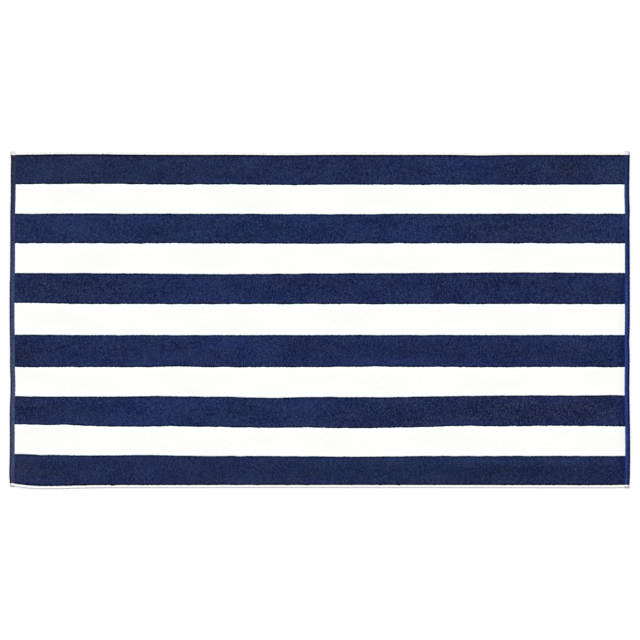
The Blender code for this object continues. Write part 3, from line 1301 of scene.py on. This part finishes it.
    def rim_shade_beside(self, rows: Floats, border: PileBorder) -> Floats:
        """How deep each row lies in the painted shade along a border, which is wider beside a side hem."""
        from_border = np.abs(rows - border.across) - self.hem_rim_more * border.at_hem
        return np.clip(1 - from_border / self.rim_width, 0, 1)

    def lift_beside(self, rows: Floats, border: PileBorder) -> Floats:
        """How much lighter and bluer the nap stands at each row beside a border."""
        share = self.hem_lift if border.at_hem else 1.0
        return share * np.exp(-np.abs(rows - border.across) / self.lift_width)

    def build(self) -> list[Piece]:
        """Makes every stripe.

        Returns:
            The stripes, from the +Y side.
        """
        plan = self.plan
        self.materials = {Yarn.NAVY: NAVY_PILE.material(), Yarn.WHITE: WHITE_PILE.material()}
        reach = plan.length / 2 - plan.end_hem
        columns = lines_between(-reach, reach, self.pitch, self.bank_lines, self.bank_lines)
        hems = (0, len(plan.marks) - 1)
        borders = [self.border(at, across, columns, at in hems) for at, across in enumerate(plan.marks)]
        pairs = zip(borders, borders[1:])
        return [self.stripe(number, upper, lower, columns) for number, (upper, lower) in enumerate(pairs)]


class HemSide(Enum):
    """The towel's four edges: which way the hem faces."""

    LEFT = (-1, 0)
    RIGHT = (1, 0)
    TOP = (0, 1)
    BOTTOM = (0, -1)


@dataclass(frozen=True)
class HemEdge:
    """How much painted shade darkens a hem at its outer fold and its inner edge, and how far its +Y tip
    sticks out.

    The outer shade is full out to one place, and gone at another.
    """

    outer: float
    inner: float
    full: float
    gone: float
    tip_out: float = 0.0


@dataclass
class FoldedHem:
    """One hem: the cloth's edge turned under into a flat tube, drawn down along its sewing."""

    plan: TowelPlan
    side: HemSide
    edge: HemEdge
    stitch_pitch: float = 3.5 * MM
    stitch_inset: float = 1.9 * MM
    stitch_dip: float = 0.50 * MM
    back_dip: float = 0.35 * MM
    stitch_reach: float = 0.9 * MM
    pucker: float = 0.14 * MM
    fold: float = 1.3 * MM
    fold_lines: Insets = (0.0, 0.12, 0.45, 1.0)
    sewing_lines: Insets = (-1.6, -0.7, 0.0, 0.7, 1.5)
    tuck: float = 0.9 * MM
    tuck_top: float = 1.5 * MM
    tuck_bottom: float = 1.0 * MM
    corner_bulk: float = 0.5 * MM
    side_tip: float = 0.6
    overlap: float = 2.0 * MM
    overhang: float = 0.5 * MM
    scallop: float = 0.30 * MM
    scallop_pitch: float = 6.3 * MM
    edge_wave: float = 0.10 * MM
    wave_passes: Passes = ((0, 3),)
    ripple: float = 0.20 * MM
    ripple_passes: Passes = ((0, 1),)
    # How far the painted shade reaches in from the inner edge and from an end hem's tips
    inner_rim: float = 1.2 * MM
    tip_rim: float = 4.6 * MM
    tip_reach: float = 7.0 * MM
    layer: float = 0.5 * MM
    open_depth: float = 2.5 * MM
    open_slant: float = 0.02 * MM
    seam_reach: float = 0.01 * MM
    folds: int = 12

    @property
    def at_end(self) -> bool:
        """Whether this hem closes one of the towel's short ends."""
        return self.side in (HemSide.LEFT, HemSide.RIGHT)

    @property
    def kind(self) -> str:
        """What its pieces' names begin with."""
        return "end_hem" if self.at_end else "side_hem"

    @property
    def hem(self) -> float:
        """The hem's finished width."""
        return self.plan.end_hem if self.at_end else self.plan.side_hem

    @property
    def sewing(self) -> float:
        """How far in from its edge the hem is sewn."""
        return self.hem - self.stitch_inset

    @property
    def run(self) -> float:
        """The hem's length: an end hem spans the towel, and a side hem runs just into both end hems."""
        if self.at_end:
            return self.plan.width
        return self.plan.length - 2 * (self.plan.end_hem - self.overlap)

    @property
    def stitches(self) -> int:
        """How many stitches the hem's sewing has."""
        return round(self.run / self.stitch_pitch)

    def chance(self, draw: Draw) -> np.random.Generator:
        """The seeded source of chance for one of this hem's draws."""
        return np.random.default_rng(draw + list(HemSide).index(self.side))

    def cloth_place(self, run: Floats, inset: Floats) -> tuple[Floats, Floats]:
        """Places on the cloth, along and across, from places along the hem and in from its edge."""
        way_x, way_y = self.side.value
        if self.at_end:
            return way_x * (self.plan.length / 2 - inset), run
        return run, way_y * (self.plan.width / 2 - inset)

    def top_at(self, run: Floats) -> Floats:
        """The hem's height: an end hem is thicker over the side hems, which end inside it.

        Args:
            run: Places along the hem.

        Returns:
            The height at each.
        """
        from_tip = self.run / 2 - np.abs(run)
        if self.at_end:
            share = np.clip(from_tip / self.plan.side_hem, 0, 1)
            return self.plan.hem_top + self.corner_bulk * np.sin(math.pi * share)
        share = np.clip(from_tip / self.overlap, 0, 1)
        return self.plan.hem_top * (self.side_tip + (1 - self.side_tip) * share)

    def sewn_in(self, run: Floats, inset: Floats) -> Floats:
        """How much the sewing draws the hem in: most in its line, and more at each needle hole."""
        from_sewing = (inset - self.sewing) / self.stitch_reach
        at_hole = np.cos(math.tau * (run / self.run * self.stitches + self.stitches / 2))
        return (1 + self.pucker / self.stitch_dip * at_hole) * np.exp(-(from_sewing**2))

    def rippled(self, run: Floats, inset: Floats) -> Floats:
        """The small ripples that the sewing gathers, which differ from fold to sewing.

        Args:
            run: Places along the hem.
            inset: How far in from its edge they lie.

        Returns:
            The ripples' height at each.
        """
        rng = self.chance(Draw.RIPPLE)
        places = np.linspace(-0.5, 0.5, 2 * self.stitches + 1)
        at_fold, at_sewing = (
            np.interp(run / self.run, places, uneven(rng, len(places), *self.ripple_passes))
            for _ in range(2)
        )
        inner = np.clip(inset / self.sewing, 0, 1)
        return self.ripple * np.clip(inset / self.fold, 0, 1) * (at_fold * (1 - inner) + at_sewing * inner)

    def rounded(self, inset: Floats) -> Floats:
        """How far the hem has opened past its rounded fold: zero at the edge, and one inside."""
        return np.sqrt(1 - np.clip(1 - inset / self.fold, 0, 1) ** 2)

    def tucked(self, height: Floats, inset: Floats, level: float) -> Floats:
        """A height that runs to the level of the tuck past the hem's inner edge."""
        return height + (level - height) * np.clip((inset - self.hem) / self.tuck, 0, 1)

    def upper(self, run: Floats, inset: Floats) -> Floats:
        """Height of the hem's face, rounded at its fold and tucked under the pile at its inner edge."""
        height = self.top_at(run) / 2 * (1 + self.rounded(inset))
        height = height - self.stitch_dip * self.sewn_in(run, inset) + self.rippled(run, inset)
        return self.tucked(height, inset, self.tuck_top)

    def lower(self, run: Floats, inset: Floats) -> Floats:
        """Height of the hem's underside, which lies on the ground between its fold and its sewing."""
        height = self.top_at(run) / 2 * (1 - self.rounded(inset))
        height = height + self.back_dip * self.sewn_in(run, inset)
        return self.tucked(height, inset, self.tuck_bottom)

    def section(self) -> tuple[Floats, Floats]:
        """The hem's section, from its outer fold over its face and back along its underside.

        Returns:
            How far in from the edge each point lies, and whether it is on the underside.
        """
        at_fold = self.fold * np.array(self.fold_lines)
        at_sewing = self.sewing + self.stitch_reach * np.array(self.sewing_lines)
        flat = [self.edge.full, self.edge.gone] if self.at_end else [(at_fold[-1] + at_sewing[0]) / 2]
        face = [*at_fold, *flat, *at_sewing, self.hem, self.hem + self.tuck]
        back = [self.hem + self.tuck, self.hem, *at_sewing[::-2], *at_fold[:0:-1]]
        return np.array(face + back), np.array([False] * len(face) + [True] * len(back))

    def stuck_out(self, run: Floats) -> Floats:
        """Places along an end hem, moved so that its +Y tip sticks out past the side hem."""
        return run + self.edge.tip_out * np.clip(1 - (self.run / 2 - run) / self.tip_reach, 0, 1)

    def edge_wander(self, run: Floats) -> Floats:
        """How far the folded edge wanders: by chance, and in the small scallops of a side hem.

        Args:
            run: Places along the hem.

        Returns:
            How far in it lies at each.
        """
        steps = uneven(self.chance(Draw.FOLD), 4 * self.stitches, *self.wave_passes) * self.edge_wave
        by_chance = np.interp(run / self.run + 0.5, np.linspace(0, 1, len(steps)), steps)
        if self.at_end:
            return by_chance - self.overhang
        return by_chance + self.scallop * (0.5 + 0.5 * np.cos(math.tau * run / self.scallop_pitch))

    def edge_shade(self, run: Floats, inset: Floats) -> Floats:
        """How much painted shade darkens the cloth at its outer fold, its inner edge and an end hem's tips.

        Args:
            run: Places along the hem.
            inset: How far in from its edge they lie.

        Returns:
            The share of painted shade at each.
        """
        edge = self.edge
        outer = np.clip((edge.gone - inset) / (edge.gone - edge.full), 0, 1) * edge.outer
        inner = np.clip(1 - np.abs(self.hem - inset) / self.inner_rim, 0, 1) * edge.inner
        if not self.at_end:
            return np.maximum(outer, inner)
        tip = np.clip(1 - (self.run / 2 - np.abs(run)) / self.tip_rim, 0, 1)
        return np.maximum(np.maximum(outer, inner), tip)

    def build(self, material: Material, yarn: Yarn) -> Piece:
        """Makes the hem.

        Args:
            material: Its finish.
            yarn: The hem's yarn, not used.

        Returns:
            The hem's closed mesh, open between its layers at an end hem's tips.
        """
        insets, underside = self.section()
        ring = len(insets)
        piece = new_grid(f"{self.kind}_{self.side.name.lower()}", 2 * self.stitches, ring)
        unit = points_of(piece)
        run = unit[:, 0] / 2 * self.run
        turn = np.rint((unit[:, 1] + 1) / 2 * ring).astype(int) % ring
        inset = insets[turn]
        at_edge = np.clip(1 - inset / (2 * self.fold), 0, 1)
        along, across = self.cloth_place(run, inset + self.edge_wander(run) * at_edge)
        x, y = self.plan.place(along, self.stuck_out(across) if self.at_end else across)
        move_points(piece, x, y, np.where(underside[turn], self.lower(run, inset), self.upper(run, inset)))
        add_cloth_map(piece, along, across)
        add_map(piece, BAKE_MAP, folded_map(piece, unit, self.folds))
        # Each point's share of painted shade, which the finish reads
        add_attribute(piece, "edge", self.edge_shade(run, inset))
        self.close()
        return finish_piece(piece, material)

    def close(self) -> None:
        """Joins the tube's seam, fills its tips, and opens those of an end hem between their layers."""
        bpy.ops.object.mode_set(mode="EDIT")
        bpy.ops.mesh.select_mode(type="VERT")
        bpy.ops.mesh.select_all(action="SELECT")
        bpy.ops.mesh.remove_doubles(threshold=self.seam_reach)
        bpy.ops.mesh.select_all(action="DESELECT")
        bpy.ops.mesh.select_non_manifold(extend=False)
        bpy.ops.mesh.fill_holes(sides=0)
        face_outwards()
        bpy.ops.mesh.select_mode(type="FACE")
        bpy.ops.mesh.select_all(action="DESELECT")
        bpy.ops.mesh.select_face_by_sides(number=4, type="GREATER")
        if self.at_end:
            bpy.ops.mesh.inset(thickness=self.layer, depth=0, use_even_offset=True)
            bpy.ops.mesh.inset(thickness=self.open_slant, depth=-self.open_depth)
        bpy.ops.object.mode_set(mode="OBJECT")


@dataclass
class StitchRow:
    """A row of lockstitches, which lies in the dip of a hem's sewing on its face and underside."""

    hem: FoldedHem
    thread: float = 0.46 * MM
    length_share: float = 0.84
    sides: int = 5
    spans: int = 3
    sink: float = 0.40 * MM
    thinner: float = 0.35
    proud: float = 0.12 * MM
    slant: float = 0.05

    def stitch(self, name: str) -> Piece:
        """Models one stitch: a short thread that rises out of one needle hole and dips into the next.

        Args:
            name: The row's name.

        Returns:
            The stitch, which runs along X from the origin.
        """
        length = self.hem.stitch_pitch * self.length_share
        deselect_all()
        bpy.ops.mesh.primitive_circle_add(
            vertices=self.sides, radius=self.thread / 2, fill_type="NGON", rotation=(0, math.pi / 2, 0)
        )
        piece = name_piece(name)
        bpy.ops.object.transform_apply(location=True, rotation=True, scale=True)
        bpy.ops.object.mode_set(mode="EDIT")
        bpy.ops.mesh.select_all(action="SELECT")
        step = {"value": (length / self.spans, 0, 0)}
        for _ in range(self.spans):
            bpy.ops.mesh.extrude_region_move(TRANSFORM_OT_translate=step)
        face_outwards()
        bpy.ops.object.mode_set(mode="OBJECT")
        points = points_of(piece)
        to_hole = np.abs(2 * points[:, 0] / length - 1) ** 3
        points[:, 1:] *= (1 - self.thinner * to_hole)[:, None]
        points[:, 2] -= self.sink * to_hole
        points[:, 0] += self.hem.stitch_pitch * (1 - self.length_share) / 2
        move_points(piece, *points.T)
        return piece

    def build(self, material: Material, yarn: Yarn) -> Piece:
        """Makes the row: one stitch, repeated, laid along the sewing and turned over for the back.

        Args:
            material: The thread's finish.
            yarn: The thread's yarn, not used.

        Returns:
            The joined stitches.
        """
        hem = self.hem
        piece = self.stitch(f"{hem.kind}_stitches_{hem.side.name.lower()}")
        row = piece.modifiers.new("row", "ARRAY")
        row.count = hem.stitches
        row.use_relative_offset = False
        row.use_constant_offset = True
        row.constant_offset_displace = (hem.stitch_pitch, 0, 0)
        bpy.ops.object.modifier_apply(modifier=row.name)
        back = piece.modifiers.new("back", "MIRROR")
        back.use_axis = (False, False, True)
        back.use_mirror_merge = False
        count = len(piece.data.vertices)
        bpy.ops.object.modifier_apply(modifier=back.name)
        points = points_of(piece)
        on_back = np.arange(len(points)) >= count
        number = np.floor(points[:, 0] / hem.stitch_pitch).astype(int)
        middle = (number + 0.5) * hem.stitch_pitch
        lean = hem.chance(Draw.STITCH).uniform(-self.slant, self.slant, hem.stitches)[number]
        stretch = hem.run / (hem.stitches * hem.stitch_pitch)
        run, mid_run = (places * stretch - hem.run / 2 for places in (points[:, 0], middle))
        inset = hem.sewing + points[:, 1] + (points[:, 0] - middle) * lean
        line = np.full(len(points), hem.sewing)
        on_face = hem.upper(mid_run, line) + self.proud
        under = np.maximum(hem.lower(mid_run, line) - self.proud, self.thread / 2)
        height = points[:, 2] + np.where(on_back, under, on_face)
        move_points(piece, *hem.plan.place(*hem.cloth_place(run, inset)), height)
        add_cloth_map(piece, run, inset + height)
        deselect_all()
        piece.select_set(True)
        bpy.context.view_layer.objects.active = piece
        bpy.ops.object.mode_set(mode="EDIT")
        face_outwards()
        bpy.ops.object.mode_set(mode="OBJECT")
        return finish_piece(piece, material)


@dataclass
class HemsAndSewing:
    """The towel's four hems, each with its row of stitches."""

    plan: TowelPlan
    # Each hem's painted shade, which differs from side to side with how the light falls
    left: HemEdge = HemEdge(outer=0.90, inner=0.25, full=2.7 * MM, gone=4.4 * MM, tip_out=1.2 * MM)
    right: HemEdge = HemEdge(outer=1.0, inner=0.35, full=3.7 * MM, gone=6.0 * MM, tip_out=2.4 * MM)
    top: HemEdge = HemEdge(outer=0.7, inner=0.1, full=2.0 * MM, gone=3.2 * MM)
    bottom: HemEdge = HemEdge(outer=0.35, inner=0.4, full=0.0, gone=2.6 * MM)

    def build(self) -> list[Piece]:
        """Makes the hems and their stitches.

        Returns:
            The pieces, a hem and its stitches by turns.
        """
        left, right, white = (each.material(self.plan) for each in (LEFT_WEAVE, RIGHT_WEAVE, WHITE_WEAVE))
        thread = {Yarn.NAVY: NAVY_THREAD.material(), Yarn.WHITE: WHITE_THREAD.material()}
        pieces = []
        for side, weave in zip(HemSide, (left, right, white, white)):
            hem = FoldedHem(self.plan, side, getattr(self, side.name.lower()))
            yarn = Yarn.NAVY if hem.at_end else Yarn.WHITE
            pieces += [hem.build(weave, yarn), StitchRow(hem).build(thread[yarn], yarn)]
        return pieces


@dataclass
class Studio:
    """A plain pale floor, soft even light, and the camera straight above the towel."""

    plan: TowelPlan
    lens: float = 85.0
    sensor: float = 36.0
    frame_width: float = 1.7040
    centre: tuple[float, float] = (0.0, 0.0005)
    far: float = 100.0
    floor_size: float = 60.0
    floor_drop: float = 0.2 * MM
    floor_white: float = 0.885
    sky: float = 0.570
    sun: float = 2.677
    sun_spread: float = 26.0
    sun_tilt: float = 48.0
    sun_turn: float = 8.0
    sun_place: Triple = (0.0, 1.0, 3.0)

    def build(self) -> None:
        """Makes the floor, the light and the camera."""
        self.floor()
        self.light()
        self.camera()

    def floor(self) -> None:
        """Makes the floor, which is no part of the towel."""
        deselect_all()
        bpy.ops.mesh.primitive_plane_add(size=self.floor_size, location=(0, 0, -self.floor_drop))
        floor = name_piece("floor")
        bench = NodeBench("pale_floor")
        white = (*[self.floor_white] * 3, 1.0)
        bench.feed_all(bench.shader, {"Base Color": white, "Roughness": 1.0, "Specular IOR Level": 0.0})
        floor.data.materials.append(bench.material)

    def light(self) -> None:
        """Lights the towel from a bright room and one broad lamp past its +Y side."""
        world = bpy.data.worlds.new("studio")
        world.use_nodes = True
        background = world.node_tree.nodes["Background"]
        background.inputs["Color"].default_value = (1.0, 1.0, 1.0, 1.0)
        background.inputs["Strength"].default_value = self.sky
        bpy.context.scene.world = world
        deselect_all()
        bpy.ops.object.light_add(type="SUN", location=self.sun_place)
        lamp = bpy.context.object
        lamp.name = "broad_lamp"
        lamp.rotation_euler = (-math.radians(self.sun_tilt), 0, math.radians(self.sun_turn))
        lamp.data.energy = self.sun
        lamp.data.angle = math.radians(self.sun_spread)

    def camera(self) -> None:
        """Sets the camera straight above the towel, with its length across the picture."""
        height = self.frame_width * self.lens / self.sensor + self.plan.pile_top
        deselect_all()
        bpy.ops.object.camera_add(location=(*self.centre, height), rotation=(0, 0, 0))
        camera = bpy.context.object
        camera.name = "camera"
        camera.data.lens = self.lens
        camera.data.sensor_width = self.sensor
        camera.data.clip_end = self.far
        scene = bpy.context.scene
        scene.camera = camera
        scene.view_settings.view_transform = "Standard"
        scene.view_settings.look = "None"


def main() -> None:
    """Builds the towel's pieces in order, and the studio round it."""
    plan = TowelPlan()
    cloth = WovenCloth(plan).build()
    pile = ShearedPile(plan).build()
    hems = HemsAndSewing(plan).build()
    flat = (plan.width, plan.length)
    Studio(plan).build()


if __name__ == "__main__":
    main()
